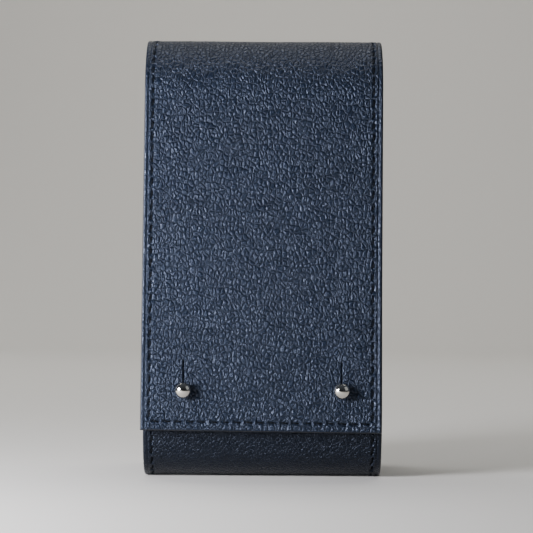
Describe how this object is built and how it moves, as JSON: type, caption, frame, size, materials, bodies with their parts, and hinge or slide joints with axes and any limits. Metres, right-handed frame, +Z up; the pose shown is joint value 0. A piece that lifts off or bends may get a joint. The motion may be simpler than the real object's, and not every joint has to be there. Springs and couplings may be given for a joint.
{
  "type": "leather dice cup",
  "caption": "Tall rectangular lined leather travel dice cup with rounded base, sewn side gussets and a long wrap-over flap closed by ball studs.",
  "frame": {"origin": "middle of the level strip of the base that the cup stands on", "axes": "+Z up, -Y is the front with the studs, +X to the right as seen from the front"},
  "size_m": [0.0802, 0.0619, 0.1487],
  "materials": {
    "leather": "pebbled, semi-matt, dark navy",
    "cup_lining": "suede, dark navy",
    "flap_lining": "smooth, dark navy",
    "board": "bonded leather board, matt",
    "thread": "waxed polyester",
    "stud": "polished nickel",
    "screw": "turned"
  },
  "bodies": {
    "cup": {"body_leather": "leather", "body_board": "board", "cup_lining": "cup_lining", "shoulder_lining": "flap_lining", "left_gusset": "leather", "right_gusset": "leather", "left_gusset_board": "board", "right_gusset_board": "board", "left_gusset_lining": "cup_lining", "right_gusset_lining": "cup_lining", "left_body_seam": "thread", "right_body_seam": "thread", "mouth_seam": "thread", "left_stud": "stud", "right_stud": "stud", "left_stud_screw": "screw", "right_stud_screw": "screw"},
    "crown": {"crown_leather": "leather", "crown_lining": "flap_lining", "left_crown_seam": "thread", "right_crown_seam": "thread"},
    "flap": {"flap_leather": "leather", "flap_lining": "flap_lining", "flap_seam": "thread"}
  },
  "joints": [
    {"name": "crown_fold", "type": "hinge", "parent": "cup", "child": "crown", "pos_m": [0, 0.01425, 0.14467], "axis": [-1, 0, 0], "range_deg": [0, 150]},
    {"name": "flap_fold", "type": "hinge", "parent": "crown", "child": "flap", "pos_m": [0, -0.01607, 0.14361], "axis": [-1, 0, 0], "range_deg": [0, 130]}
  ]
}
